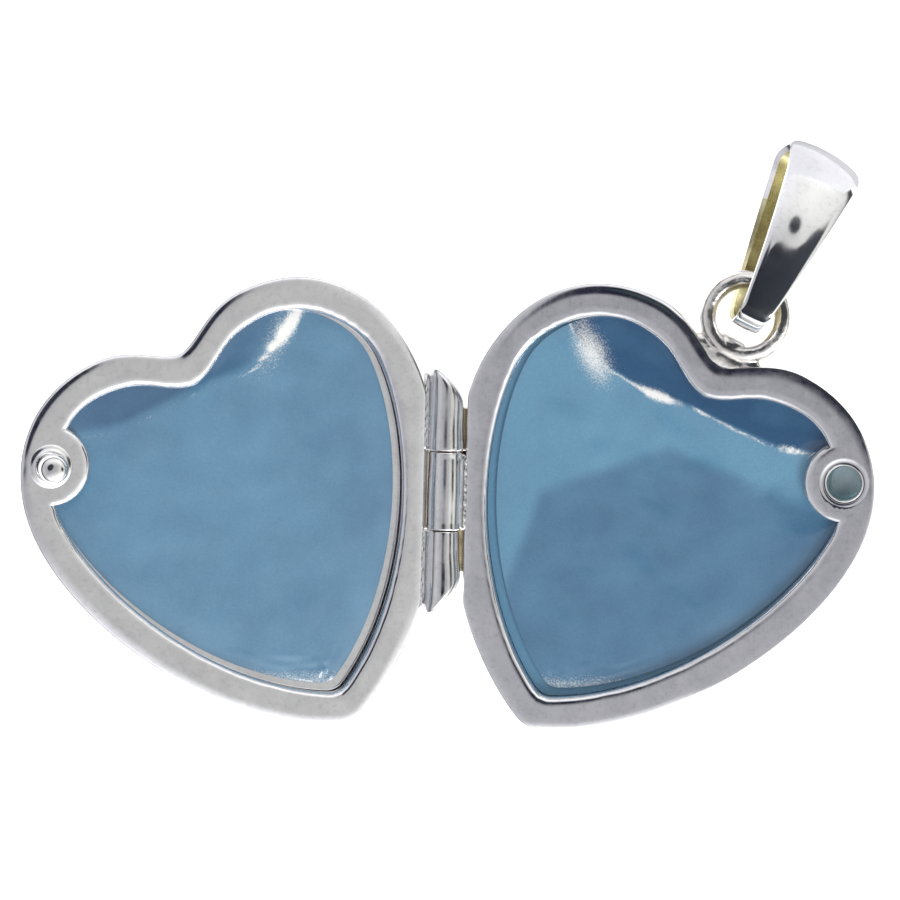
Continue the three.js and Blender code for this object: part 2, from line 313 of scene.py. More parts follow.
def make(name, mesh, place, body, nodes, materials, crease=SHARP_CREASE):
    """A finished piece: the mesh put in its place, riding on its body and standing for its nodes."""
    mesh.transform(place)
    if place.determinant() < 0:
        mesh.flip_normals()
    mesh.name = name
    mesh.shade_smooth()
    mesh.set_sharp_from_angle(angle=math.radians(crease))
    mesh.materials.clear()
    for material in materials:
        mesh.materials.append(material)
    piece = bpy.data.objects.new(name, mesh)
    bpy.context.scene.collection.objects.link(piece)
    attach(piece, body)
    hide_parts(*nodes)
    return piece


def half_place(side):
    turn = Matrix.Rotation(-side * FOLD / 2, 4, "Y")
    return Matrix.Translation(HINGE) @ turn @ Matrix.Diagonal((side * MM, MM, MM, 1))


# ------------------------------------------------------------------ materials

class Material:
    """A Principled material, with short ways to add and join nodes."""

    def __init__(self, name):
        self.material = bpy.data.materials.new(name)
        self.material.use_nodes = True
        self.tree = self.material.node_tree
        self.shader = self.tree.nodes["Principled BSDF"]
        self.place = self.add("ShaderNodeTexCoord").outputs["Object"]

    def add(self, kind, inputs=None, **settings):
        node = self.tree.nodes.new(kind)
        for key, value in settings.items():
            setattr(node, key, value)
        for key, value in (inputs or {}).items():
            if isinstance(value, bpy.types.NodeSocket):
                self.tree.links.new(value, node.inputs[key])
            else:
                node.inputs[key].default_value = value
        return node

    def noise(self, size, detail=3, stretch=None, roughness=0.5):
        """Noise whose features are about this many millimetres across."""
        place = self.place
        if stretch:
            place = self.add("ShaderNodeMapping", {"Vector": place, "Scale": stretch}).outputs[0]
        inputs = {"Vector": place, "Scale": 1 / (size * MM), "Detail": detail, "Roughness": roughness}
        return self.add("ShaderNodeTexNoise", inputs).outputs["Fac"]

    def calc(self, operation, a, b, c=0.5, clamp=False):
        inputs = {0: a, 1: b, 2: c}
        return self.add("ShaderNodeMath", inputs, operation=operation, use_clamp=clamp).outputs[0]

    def attribute(self, label):
        return self.add("ShaderNodeAttribute", attribute_name=label).outputs["Fac"]

    def ramp(self, value, *stops):
        node = self.add("ShaderNodeValToRGB", {"Fac": value})
        ramp = node.color_ramp
        while len(ramp.elements) < len(stops):
            ramp.elements.new(0.5)
        for element, (position, colour) in zip(ramp.elements, stops):
            element.position = position
            element.color = (*colour, 1) if len(colour) == 3 else colour
        return node.outputs["Color"]

    def grey(self, value, *stops):
        return self.ramp(value, *[(position, (level, level, level)) for position, level in stops])

    def mix(self, factor, a, b, blend="MIX"):
        node = self.add("ShaderNodeMix", {"Factor": factor}, data_type="RGBA", blend_type=blend)
        for key, value in ((6, a), (7, b)):
            if isinstance(value, bpy.types.NodeSocket):
                self.tree.links.new(value, node.inputs[key])
            else:
                node.inputs[key].default_value = (*value, 1)
        return node.outputs[2]

    def bump(self, height, distance, strength=1.0, below=None):
        inputs = {"Height": height, "Distance": distance * MM, "Strength": strength}
        if below:
            inputs["Normal"] = below
        return self.add("ShaderNodeBump", inputs).outputs["Normal"]

    def set(self, **values):
        for key, value in values.items():
            socket = self.shader.inputs[key.replace("_", " ")]
            if isinstance(value, bpy.types.NodeSocket):
                self.tree.links.new(value, socket)
            else:
                socket.default_value = value
        return self.material


def silver(name, light, dark, gloss, waves, scratches=0.0006, pits=0.0, tarnish=None):
    """Polished silver: cloudy tone, hand-polished waves, hairlines, and tarnish in its corners."""
    m = Material(name)
    cloud = m.ramp(m.noise(1.6, 5), (0.35, dark), (0.62, light))
    speck = m.grey(m.noise(0.25, 4, roughness=0.7), (0.28, 0.88), (0.5, 1.0))
    tone = m.mix(1.0, cloud, speck, "MULTIPLY")
    if tarnish:
        corners = m.add("ShaderNodeAmbientOcclusion", {"Distance": 0.35 * MM}, samples=6).outputs["AO"]
        shade = m.grey(corners, (0.25, 1), (0.6, 0))
        tone = m.mix(shade, tone, tarnish)
    rough = m.grey(m.noise(0.7, 6, roughness=0.65), (0.3, gloss * 0.6), (0.75, gloss * 1.5))
    normal = m.bump(m.noise(2.6, 2), waves)
    hairlines = m.noise(0.16, 2, stretch=(1, 0.07, 1))
    normal = m.bump(hairlines, scratches, below=normal)
    if pits:
        normal = m.bump(m.noise(0.22, 4, roughness=0.6), pits, below=normal)
    return m.set(Base_Color=tone, Metallic=1.0, Roughness=rough, Normal=normal)


def blue_film(name, light, dark, gloss):
    """Clear glossy film over blue card: cloudy colour under a hard gloss, darkened by painted shade, with
    painted white glints along its creases.
    """
    m = Material(name)
    painted_glint = m.attribute("painted_glint")
    # The shade attribute darkens the blue: painted shade and reflection.
    uneven = m.calc("MULTIPLY_ADD", m.noise(2.4, 3), 0.5, m.attribute("shade"))
    cloud = m.ramp(uneven, (0.2, light), (1.15, dark))
    grain = m.grey(m.noise(0.1, 4, roughness=0.7), (0.3, 0.9), (0.7, 1.08))
    tone = m.mix(1.0, cloud, grain, "MULTIPLY")
    sparkle = m.calc("MULTIPLY_ADD", m.noise(0.065, 5, roughness=0.7), 2.6, -1.65)
    # Painted highlight: the crease glints are mixed into the colour as broken white.
    glint_level = m.calc("MULTIPLY_ADD", painted_glint, 1.9, sparkle, clamp=True)
    there = m.grey(painted_glint, (0.0, 0), (0.12, 1))
    white = m.calc("MULTIPLY", glint_level, there)
    tone = m.mix(white, tone, (1.0, 1.0, 0.97))
    rough = m.grey(m.noise(0.3, 4), (0.3, 0.4), (0.7, 0.55))
    wrinkles = m.bump(m.noise(1.1, 3), 0.006)
    fine = m.bump(m.noise(0.16, 3), 0.0015, below=wrinkles)
    return m.set(Base_Color=tone, Roughness=rough, Normal=wrinkles, Coat_Normal=fine,
                 Coat_Weight=1.0, Coat_Roughness=gloss, Coat_IOR=1.6)


POLISHED = silver("polished_silver", (0.93, 0.93, 0.94), (0.88, 0.88, 0.9), gloss=0.11, waves=0.006)
RIM = silver("rim_silver", (0.91, 0.91, 0.93), (0.83, 0.83, 0.86), gloss=0.13, waves=0.006,
             scratches=0.0009)
HINGED = silver("hinge_silver", (0.86, 0.86, 0.86), (0.74, 0.74, 0.75), gloss=0.17, waves=0.03,
                tarnish=(0.16, 0.13, 0.08))
TARNISHED = silver("tarnished_silver", (0.36, 0.3, 0.19), (0.2, 0.16, 0.1), gloss=0.35, waves=0.01)
CATCHES = silver("catch_silver", (0.9, 0.9, 0.91), (0.82, 0.82, 0.82), gloss=0.12, waves=0.004,
                 tarnish=(0.3, 0.28, 0.24))
# The socket's inside: darker teal-grey silver, painted shade and reflection within the hole.
SHADED_LINING = silver("shaded_lining_silver", (0.66, 0.78, 0.8), (0.42, 0.52, 0.56), gloss=0.5, waves=0.01)
CAST = silver("cast_silver", (0.95, 0.93, 0.89), (0.84, 0.81, 0.76), gloss=0.22, waves=0.012,
              pits=0.004, tarnish=(0.35, 0.3, 0.22))
# The strap's inside faces: a yellow-olive silver.
YELLOW_INSIDE = silver("yellow_inside_silver", (0.78, 0.74, 0.48), (0.4, 0.34, 0.2), gloss=0.3, waves=0.01)
FILM = blue_film("blue_film", (0.135, 0.33, 0.49), (0.028, 0.1, 0.215), gloss=0.08)
CARD = blue_film("blue_card", (0.11, 0.29, 0.45), (0.06, 0.15, 0.28), gloss=0.2)


# ------------------------------------------------------------------ pieces of either half

def fall(distance, edge, amount=1.0):
    """How far the rim's face falls at this distance from one of its edges: a slow dip, then a round."""
    dip = edge["depth"] * max(0.0, 1 - distance / edge["reach"]) ** 2
    turn = max(0.0, 1 - distance / edge["round"])
    return amount * (dip + edge["round"] * (1 - math.sqrt(1 - turn * turn)))


def rim_section(inner, outer, side):
    """The rim's closed section at one place, from the seat, over the face, to the collar's foot."""
    across = outer - inner
    width = across.length
    out = across / width
    seat = HEART_CENTRE.lerp(inner, SEAT_WINDOW)
    marks = FILE_MARKS * noise.noise(Vector((inner.x, inner.y, 0)) * 3.5)
    ear = ease((inner - EAR).length, EAR_RADIUS, EAR_RADIUS + 0.8)
    lip = (0.35 + 0.65 * ear) * (0.45 + 0.55 * ease(inner.x, 1.6, 3.4))
    shoulder = 0.25 + 0.75 * ease(outer.x, HINGE_FLAT, HINGE_FLAT + 1.4)
    if side > 0:
        shoulder *= 1 - 0.8 * ease(outer.x, *CRISP_FROM)
    points = [
        (seat, SEAT_TOP),
        (inner + out * GROOVE, SEAT_TOP),
        (inner + out * GROOVE, GROOVE_TOP),
        (inner + out * 0.02, GROOVE_TOP),
        (inner, LIP_BOTTOM),
    ]
    for k in range(FACE_STEPS + 1):
        distance = width * (0.5 - 0.5 * math.cos(math.pi * k / FACE_STEPS))
        height = FACE - fall(distance + marks * ease(distance, 0.0, 0.08), INNER_EDGE, lip)
        height -= fall(width - distance, OUTER_EDGE, shoulder)
        points.append((inner + out * distance, height))
    points += [
        (outer, FACE - RIM_THICKNESS + 0.04),
        (outer - out * 0.04, FACE - RIM_THICKNESS),
        (inner + out * COLLAR_WALL, FACE - RIM_THICKNESS),
        (inner + out * COLLAR_WALL, COLLAR_BOTTOM),
        (seat, COLLAR_BOTTOM),
    ]
    return [(point.x, point.y, height) for point, height in points]


def rim_mesh(name, side):
    inner = around_ear(heart(OPENING_OUTLINE, FINE_STEPS), EAR_RADIUS)
    sections = [rim_section(a, b, side) for a, b in zip(inner, rim_edge(FINE_STEPS))]
    points = [point for section in sections for point in section]
    return mesh_of(name, points, grid_faces(len(sections), len(sections[0])))


def gutter_mesh(low, high):
    """The tarnished hollow in a half's hinge side that clears one of the other half's knuckles."""
    section = [(HINGE_FLAT + 0.03, GUTTER_BOTTOM), (HINGE_FLAT + 0.03, -0.14)]
    for k in range(19):
        angle = math.radians(-9.5 - 65 * k / 18)
        section.append((GUTTER_RADIUS * math.cos(angle), GUTTER_RADIUS * math.sin(angle)))
    section.append((section[-1][0], GUTTER_BOTTOM))
    count = len(section)
    points = [(x, y, z) for y in (low, high) for x, z in section]
    faces = grid_faces(2, count, wrap_rows=False)
    faces += [tuple(range(count)), tuple(range(count, 2 * count))]
    return mesh_of("gutter", points, faces)


def shell_mesh(name):
    """The domed back: a wall, then rings that shrink towards the middle as the dome falls away."""
    edge = rim_edge(COARSE_STEPS)
    inside = [HEART_CENTRE.lerp(p, 1 - SHELL_WALL / SHELL_REACH) for p in edge]

    def dome(ring, back):
        rows = [[(p.x, p.y, SHELL_TOP) for p in ring]]
        for k in range(DOME_STEPS + 1):
            angle = math.pi / 2 * k / DOME_STEPS
            height = SHELL_SIDE + (back - SHELL_SIDE) * math.sin(angle)
            shrunk = [HEART_CENTRE.lerp(p, math.cos(angle)) for p in ring]
            rows.append([(p.x, p.y, height) for p in shrunk])
        return rows

    rows = list(reversed(dome(edge, SHELL_BACK))) + dome(inside, SHELL_BACK + SHELL_WALL)
    points = [point for row in rows for point in row]
    return mesh_of(name, points, grid_faces(len(rows), len(edge), wrap_rows=False))


def crease_distance(point, side):
    """How far the point lies beyond the film's crease, towards the lobes."""
    best = math.inf
    crease = CREASES[side]
    for a, b in zip(crease, crease[1:]):
        along = b - a
        share = min(1.0, max(0.0, (point - a).dot(along) / along.length_squared))
        gap = point - a.lerp(b, share)
        if gap.length < abs(best):
            best = math.copysign(gap.length, along.x * gap.y - along.y * gap.x)
    return best


def film_height(point, inside, side):
    """The film's height: edges held down, a soft crown, a crease under the lobes, and crumples."""
    crown = 0.15 * (1 - math.exp(-inside / 0.8))
    beyond = crease_distance(point, side)
    ridge = 0.035 * math.exp(-abs(beyond) / 0.5) - 0.03 * ease(beyond, 0.0, 1.4)
    crumple = 0.03 * noise.noise(Vector((point.x * 0.7, point.y * 0.7, 3.0 * side)))
    tip = 0.09 * noise.noise(Vector((point.x * 3, point.y * 3, side))) * ease(-point.y, 6.6, 8.4)
    return FILM_EDGE + crown + (ridge + crumple) * ease(inside, 0, 0.6) + tip * ease(inside, 0, 0.3)


def film_painted_shade(point, side):
    """Where the film is painted darker, as painted shade and reflection: beyond its crease, a little over
    the whole front half, and in the middle of the rear half.
    """
    beyond = crease_distance(point, side)
    if side < 0:
        shade = ease(beyond, -0.1, 0.5) * (0.62 - 0.4 * ease(point.x, 10.0, 5.5))
        return max(shade, 0.26 + 0.08 * ease(point.x, 8, 3))
    shade = 0.8 * ease(beyond, -0.1, 0.25) - 0.12 * ease(beyond, 0.4, 1.4)
    roof = min(point.x - 2.2 - 0.35 * (point.y + 5), 0.9 * (2.3 - point.y) - 0.35 * abs(point.x - 9.5))
    return max(shade, 0.42 * ease(roof, -0.2, 0.5))


def film_painted_glint(point, side):
    """Where the film's crease is painted white as a glint, a painted highlight: how strongly, from 0 to 1.
    """
    glint_breaks = 0.55 + 0.7 * noise.noise(Vector((point.x * 1.7, 4.0, 0)))
    if side > 0:
        spot = math.exp(-((point.x - 9.0) / 0.8) ** 2) + 0.6 * math.exp(-((point.x - 14.7) / 0.45) ** 2)
        width = 0.075 + 0.13 * spot
        strength = max(0.9 * glint_breaks, 1.4 * spot)
        glint_haze = 0.62 * math.exp(-((point.x - 6.1) / 0.9) ** 2)
    else:
        width = 0.06 + 0.32 * math.exp(-((point.x - 6.9) / 0.6) ** 2)
        strength = 0.3 * glint_breaks + math.exp(-((point.x - 7.0) / 1.3) ** 2)
        glint_haze = 0.3 * math.exp(-((point.x - 7.4) / 0.8) ** 2)
    distance = abs(crease_distance(point, side))
    line = 0.95 * min(1.0, strength) * math.exp(-(distance / width) ** 2)
    # A painted haze of glint around the crease, and pale painted glint at the tips.
    spread = glint_haze * math.exp(-(distance / 0.8) ** 2)
    tip = 0.3 * ease(-point.y, 7.5, 8.3)
    return max(line, spread, tip)


def sheet_mesh(name, outline, top, thickness, rings, side=0):
    """A thin closed sheet over an outline, as rings about the heart's centre. top gives its height."""
    border = KDTree(4 * len(outline))
    for i, edge in enumerate(outline):
        for quarter in range(4):
            place = outline[i - 1].lerp(edge, quarter / 4)
            border.insert((place.x, place.y, 0), 4 * i + quarter)
    border.balance()
    upper, lower = [], []
    for k in range(rings + 1):
        share = 1 - (1 - k / rings) ** 1.35
        for edge in outline:
            point = HEART_CENTRE.lerp(edge, share)
            inside = border.find((point.x, point.y, 0))[2]
            height = top(point, inside)
            upper.append((point.x, point.y, height))
            lower.append((point.x, point.y, height - thickness))
    count = len(outline)
    ends = [*upper, *[p for k in range(rings, -1, -1) for p in lower[k * count:(k + 1) * count]]]
    mesh = mesh_of(name, ends, grid_faces(2 * (rings + 1), count, wrap_rows=False))
    # The film carries its painted shade and painted glints as point attributes.
    for label, rule in (("shade", film_painted_shade), ("painted_glint", film_painted_glint)):
        layer = mesh.attributes.new(label, "FLOAT", "POINT")
        for vertex, value in zip(mesh.vertices, layer.data):
            seen = side and vertex.co.z > CARD_TOP
            value.value = rule(vertex.co.xy, side) if seen else 0.0
    return mesh


def film_outline(grow):
    opening = heart(OPENING_OUTLINE, COARSE_STEPS)
    shifted = [HEART_CENTRE.lerp(p, FILM_SCALE + grow) + FILM_SHIFT for p in opening]
    return around_ear(shifted, EAR_RADIUS + SEAM)


def card_outline(half):
    """The rear card fills its opening; the front one is cut short, so the recess beside it shows."""
    if half == "rear":
        return around_ear(heart(OPENING_OUTLINE, COARSE_STEPS), EAR_RADIUS + SEAM)
    return [HEART_CENTRE.lerp(p, FRONT_CARD_SCALE) for p in film_outline(-0.02)]


def card_top(point, inside):
    return CARD_TOP


def peg_mesh(name):
    rivet = FACE - RIM_THICKNESS - SEAM
    profile = [
        (0, rivet - 0.18), (0.5, rivet - 0.18), (0.6, rivet - 0.1), (0.6, rivet), (0.34, rivet),
        (0.34, FACE), (0.9, FACE), (0.94, FACE + 0.02), (0.91, FACE + 0.04), (0.82, FACE + 0.06),
        (0.7, FACE + 0.09), (0.64, 0.12), (0.6, 0.2), (0.53, 0.25), (0.5, 0.3), (0.5, 0.4),
        (0.53, 0.47), (0.61, 0.54), (0.655, 0.62), (0.655, 0.74), (0.62, 0.86), (0.55, 0.97),
        (0.44, 1.06), (0.3, 1.11), (0.14, 1.135), (0, 1.14),
    ]
    mesh = turned(name, profile, EAR)
    for vertex in mesh.vertices:
        rise = max(0.0, vertex.co.z - PEG_NECK)
        vertex.co.x -= PEG_LEAN[0] * rise
        vertex.co.y -= PEG_LEAN[1] * rise
    return mesh


def socket_mesh(name):
    outside = SOCKET_BORE + SOCKET_WALL
    top = FACE - DISH_DEPTH - SOCKET_DROP
    floor = SOCKET_BOTTOM + SOCKET_WALL
    profile = [(0, SOCKET_BOTTOM), (outside, SOCKET_BOTTOM), (outside, top - 0.02)]
    for k in range(7):
        angle = math.pi * k / 6
        middle = SOCKET_BORE + SOCKET_WALL / 2
        profile.append((middle + math.cos(angle) * SOCKET_WALL / 2, top + math.sin(angle) * 0.08))
    profile += [(SOCKET_BORE, top - 0.15), (SOCKET_BORE, floor + 0.1)]
    profile += [(SOCKET_BORE - 0.1, floor), (0, floor)]
    return turned(name, profile, EAR)


def is_lining(place):
    """Whether this part of the socket is the inside of its cup, coloured darker teal-grey as painted shade
    and reflection.
    """
    within = (place.xy - EAR).length < SOCKET_BORE + 0.01
    return within and SOCKET_BOTTOM + 0.05 < place.z < FACE - DISH_DEPTH - 0.12


def dish_mesh():
    """What the rear rim's ear loses: a shallow dish with a smooth edge, and the bore for the socket."""
    start, end = DISH_RADIUS
    bore = SOCKET_BORE + SOCKET_WALL + 0.01
    profile = [(0, -2.5), (bore, -2.5)]
    for k in range(15):
        radius = bore + (end + 0.02 - bore) * k / 14
        profile.append((radius, FACE - DISH_DEPTH * (1 - ease(radius, start, end)) + 0.002))
    profile += [(end + 0.02, 0.5), (0, 0.5)]
    return turned("dish", profile, EAR)


# ------------------------------------------------------------------ hinge

def knuckle_mesh(name, low, high, slanted, bored, taper):
    """A knuckle along y. A slanted one has its high end cut back from the rim; a bored one is open.

    taper is how much thinner its high end is, or its low end if it is negative.
    """
    sides, steps, along = 56, 8, 24
    back = math.tan(KNUCKLE_SLANT) if slanted else 0.0
    rounding = SLANT_ROUNDING if slanted else KNUCKLE_ROUNDING

    def ring(radius, share, end_inset=0.0, start_inset=0.0):
        radius -= max(0.0, taper) * share + max(0.0, -taper) * (1 - share)
        points = []
        for k in range(sides):
            angle = 2 * math.pi * k / sides
            x, z = radius * math.cos(angle), radius * math.sin(angle)
            end = high - end_inset - back * (KNUCKLE_RADIUS - x)
            start = low + start_inset
            points.append((x, start + (end - start) * share, z))
        return points

    core = KNUCKLE_BORE if bored else 1e-5
    rows = [ring(core, 0)]
    for k in range(steps + 1):
        angle = math.pi / 2 * k / steps
        inset = KNUCKLE_ROUNDING * (1 - math.sin(angle))
        rows.append(ring(KNUCKLE_RADIUS - inset, 0, start_inset=KNUCKLE_ROUNDING * (1 - math.cos(angle))))
    for k in range(1, along):
        barrel = KNUCKLE_WAVE * math.sin(math.pi * k / along * 2 + low)
        radius = KNUCKLE_RADIUS - KNUCKLE_WAVE + barrel
        rows.append(ring(radius, k / along, rounding, KNUCKLE_ROUNDING))
    for k in range(steps + 1):
        angle = math.pi / 2 * k / steps
        radius = KNUCKLE_RADIUS - rounding * (1 - math.cos(angle))
        rows.append(ring(radius, 1, rounding * (1 - math.sin(angle))))
    rows.append(ring(core, 1))
    points = [point for row in rows for point in row]
    return mesh_of(name, points, grid_faces(len(rows), sides, wrap_rows=bored))


def web_mesh(name, low, high, seed):
    """The solder that joins a knuckle to its rim: a smooth fillet, uneven along the rim's edge."""
    steps, across = 90, 14
    foot = Vector((HINGE_FLAT + 0.07, FACE - 0.005))
    control = Vector((0.76, 0.0))
    crown = Vector((0.55, 0.47))
    rows = []
    for i in range(steps + 1):
        y = low + (high - low) * i / steps
        end = min(1.0, (i + 2) / 5, (steps - i) / 14)
        drop = 0.4 * (1 - math.sqrt(1 - (1 - end) ** 2))
        row = []
        for j in range(across + 1):
            t = j / across
            point = crown * (1 - t) ** 2 + control * 2 * t * (1 - t) + foot * t * t
            seam = math.exp(-((t - 0.86) / 0.07) ** 2)
            bead = 0.04 * noise.noise(Vector((seed * 7.0, y * 4.5, 0))) - 0.015
            ripple = 0.006 * noise.noise(Vector((point.x * 3, y * 1.5, seed)))
            row.append((point.x, y, point.y + seam * min(0.0, bead) + ripple - drop))
        row += [(foot.x, y, -0.5), (0.42, y, -0.5), (0.42, y, 0.3 - drop)]
        rows.append(row)
    columns = len(rows[0])
    points = [point for row in rows for point in row]
    faces = grid_faces(len(rows), columns, wrap_rows=False)
    faces += [tuple(range(columns)), tuple(range(steps * columns, (steps + 1) * columns))]
    return mesh_of(name, points, faces)


# ------------------------------------------------------------------ ring and bail

def ring_mesh():
    """The cast ring fused with the lumpy solder that fills the cleft under it."""
    centre = to_half(RING_CENTRE)
    turn = Matrix.Rotation(-HEART_LEAN, 4, "Z")
    place = Matrix.Translation((centre.x, centre.y, RING_HEIGHT)) @ turn
    sides, wire = 72, 24
    points = []
    for i in range(sides):
        a = 2 * math.pi * i / sides
        for j in range(wire):
            b = 2 * math.pi * j / wire
            reach = RING_RADIUS + RING_WIRE * math.cos(b)
            rise = RING_WIRE * math.sin(b)
            points.append(place @ Vector((reach * math.cos(a), reach * math.sin(a), rise)))
    torus = mesh_of("torus", points, grid_faces(sides, wire))
    blobs = [
        ((0, -2.05, 0), (1.25, 0.5, 0.36)),
        ((-1.0, -1.85, -0.04), (0.8, 0.4, 0.3)),
        ((1.05, -1.8, -0.04), (0.8, 0.42, 0.3)),
        ((0.1, -1.44, -0.03), (1.1, 0.46, 0.38)),
    ]
    solder = bmesh.new()
    for middle, size in blobs:
        spot = place @ Matrix.Translation(middle) @ Matrix.Diagonal((*size, 1))
        bmesh.ops.create_icosphere(solder, subdivisions=4, radius=1.0, matrix=spot)
    lump = bpy.data.meshes.new("lump")
    solder.to_mesh(lump)
    solder.free()
    fused = remeshed(joined("fused", torus, lump), RING_VOXEL, RING_SMOOTHING)
    for vertex in fused.vertices:
        rough = noise.noise(vertex.co * 1.6) * 0.025 + noise.noise(vertex.co * 6) * 0.005
        vertex.co += vertex.normal * (rough - 0.01)
    return fused


def bail_path():
    """The strap's loop in the bail's own y and z, with the outward direction at each place."""
    foot = BAIL_FOOT["radius"]
    head = BAIL_HEAD["radius"]
    lean = math.asin((head - foot) / (BAIL_HEAD["y"] - BAIL_FOOT["y"]))
    front = math.pi / 2 + lean
    path = []

    def arc(middle, radius, start, end, steps):
        for k in range(steps):
            angle = start + (end - start) * k / steps
            path.append(Vector((middle, 0)) + Vector((math.cos(angle), math.sin(angle))) * radius)

    def straight(angle, steps, bulge):
        out = Vector((math.cos(angle), math.sin(angle)))
        ends = [Vector((BAIL_HEAD["y"], 0)) + out * head, Vector((BAIL_FOOT["y"], 0)) + out * foot]
        if angle < 0:
            ends.reverse()
        for k in range(steps):
            share = k / steps
            path.append(ends[0].lerp(ends[1], share) + out * bulge * math.sin(math.pi * share))

    arc(BAIL_HEAD["y"], head, -front, front, 60)
    straight(front, 44, BAIL_BULGE)
    arc(BAIL_FOOT["y"], foot, front, 2 * math.pi - front, 32)
    straight(-front, 30, 0.0)
    for point in path:
        point.x -= BAIL_SKEW * point.y * ease(point.x, 1.5, BAIL_HEAD["y"])
    for sweep in range(BAIL_SMOOTHING):
        path = [path[k - 1] * 0.25 + p * 0.5 + path[(k + 1) % len(path)] * 0.25 for k, p in enumerate(path)]
    outward = []
    for k, point in enumerate(path):
        along = (path[(k + 1) % len(path)] - path[k - 1]).normalized()
        outward.append((point, Vector((along.y, -along.x))))
    return outward


def bail_width(y):
    top = BAIL_HEAD["y"] + BAIL_HEAD["radius"]
    bottom = BAIL_FOOT["y"] - BAIL_FOOT["radius"]
    share = (y - bottom) / (top - bottom)
    width = BAIL_FOOT["width"] + (BAIL_HEAD["width"] - BAIL_FOOT["width"]) * share
    corner = min(1.0, max(0.0, y - (top - BAIL_CORNER)) / BAIL_CORNER)
    return width * (1 - BAIL_NARROWING * (1 - math.sqrt(1 - corner ** 2)))


def bail_mesh(name):
    """The strap: a crowned section with rounded edges, taken round the loop."""
    steps = 22
    outside = [-1 + 2 * k / steps for k in range(steps + 1)]
    inside = [-share for share in outside[1:-1:2]]
    rows = []
    for point, out in bail_path():
        half = bail_width(point.x) / 2
        crown = BAIL_CROWN * (2 * half / BAIL_HEAD["width"]) ** 2
        section = [(0.97 * a, crown * a * a + 0.05 * a ** 10) for a in outside]
        section.append((1.0, crown + 0.13))
        section += [(0.96 * a, BAIL_STRAP + 0.8 * crown * a * a - 0.03 * a ** 8) for a in inside]
        section.append((-1.0, crown + 0.13))
        for across, inset in section:
            place = point - out * inset
            rows.append((half * across, place.x, place.y))
    columns = len(outside) + len(inside) + 2
    mesh = mesh_of(name, rows, grid_faces(len(rows) // columns, columns))
    lining = []
    for k, polygon in enumerate(mesh.polygons):
        column = k % columns
        side = column in (len(outside), columns - 2)
        within = len(outside) <= column < columns - 1
        lining.append(within and not (side and polygon.center.y > BAIL_HEAD["y"] - 1))
    return mesh, lining


# ------------------------------------------------------------------ assembly

MIDDLE = MIDDLE_KNUCKLE / 2
OUTER = MIDDLE + KNUCKLE_GAP
END = HINGE_LENGTH / 2
for half, side in SIDES.items():
    body = half + "_half"
    place = half_place(side)
    rim = rim_mesh(half + "_rim_plate", side)
    if half == "rear":
        rim = cut(rim, dish_mesh())
        gutters = [gutter_mesh(OUTER, END - GUTTER_STOP), gutter_mesh(GUTTER_STOP - END, -OUTER)]
    else:
        gutters = [gutter_mesh(-MIDDLE, MIDDLE)]
    plain = len(rim.polygons)
    rim = joined("rim", rim, *gutters)
    hollow = TARNISHED if half == "rear" else HINGED
    make(half + "_rim_plate", rim, place, body, [half + "_rim"], [RIM, hollow])
    for polygon in rim.polygons[plain:]:
        polygon.material_index = 1
    shell = shell_mesh("shell")
    make(half + "_domed_back", shell, place, body, [half + "_shell"], [POLISHED])

    def film_top(point, inside):
        return film_height(point, inside, side)

    cover = [half + "_photo_cover"]
    film = sheet_mesh("film", film_outline(0), film_top, FILM_THICKNESS, FILM_RINGS, side)
    make(half + "_photo_film", film, place, body, cover, [FILM], SOFT_CREASE)
    backing = sheet_mesh("card", card_outline(half), card_top, CARD_THICKNESS, CARD_RINGS)
    make(half + "_photo_card", backing, place, body, cover, [CARD], SOFT_CREASE)

rear = half_place(SIDES["rear"])
front = half_place(SIDES["front"])
cup = socket_mesh("socket")
lining = [polygon.index for polygon in cup.polygons if is_lining(polygon.center)]
make("catch_cup", cup, rear, "rear_half", ["catch_socket"], [CATCHES, SHADED_LINING])
for index in lining:
    cup.polygons[index].material_index = 1
make("catch_stud", peg_mesh("peg"), front, "front_half", ["catch_peg"], [CATCHES])

knuckle = knuckle_mesh("knuckle", -MIDDLE, MIDDLE, slanted=False, bored=True, taper=MIDDLE_TAPER)
middle = joined("middle", knuckle, web_mesh("web", -MIDDLE, MIDDLE, seed=1))
make("middle_knuckle", middle, rear, "rear_half", ["hinge_knuckle_middle"], [HINGED])
for which, flip, taper in OUTER_KNUCKLES:
    knuckle = knuckle_mesh("knuckle", OUTER, END, slanted=True, bored=False, taper=taper)
    shape = joined("outer", knuckle, web_mesh("web", OUTER, END - WEB_STOP, seed=2 + flip))
    place = front @ Matrix.Diagonal((1, flip, 1, 1))
    node = "hinge_knuckle_" + which
    make(which + "_knuckle", shape, place, "front_half", [node], [HINGED])

pin = frame["nodes"]["hinge_pin"]
pin.data.materials.clear()
pin.data.materials.append(HINGED)

ring = ring_mesh()
make("cast_ring", ring, rear, "rear_half", ["bail_ring"], [CAST], SOFT_CREASE)

droop, roll, heading = BAIL_TURN
bail_place = Matrix.Translation(BAIL_PIVOT) @ Matrix.Rotation(heading, 4, "Z")
bail_place = bail_place @ Matrix.Rotation(droop, 4, "X") @ Matrix.Rotation(roll, 4, "Y")
bail_place = bail_place @ Matrix.Diagonal((MM, MM, MM, 1))
strap, inside_faces = bail_mesh("strap")
make("bail_strap", strap, bail_place, "bail", ["bail"], [POLISHED, YELLOW_INSIDE])
for polygon, inner in zip(strap.polygons, inside_faces):
    polygon.material_index = int(inner)


# ------------------------------------------------------------------ camera, light and floor

VIEW_LEAN = (math.tan(math.radians(-2.8)), math.tan(math.radians(5.6)))
VIEW_ROLL = math.radians(1.5)
VIEW_DISTANCE = 0.425
VIEW_OFFSET = (0.000218, 0.001716)
LENS = 397
SENSOR_WIDTH = 36

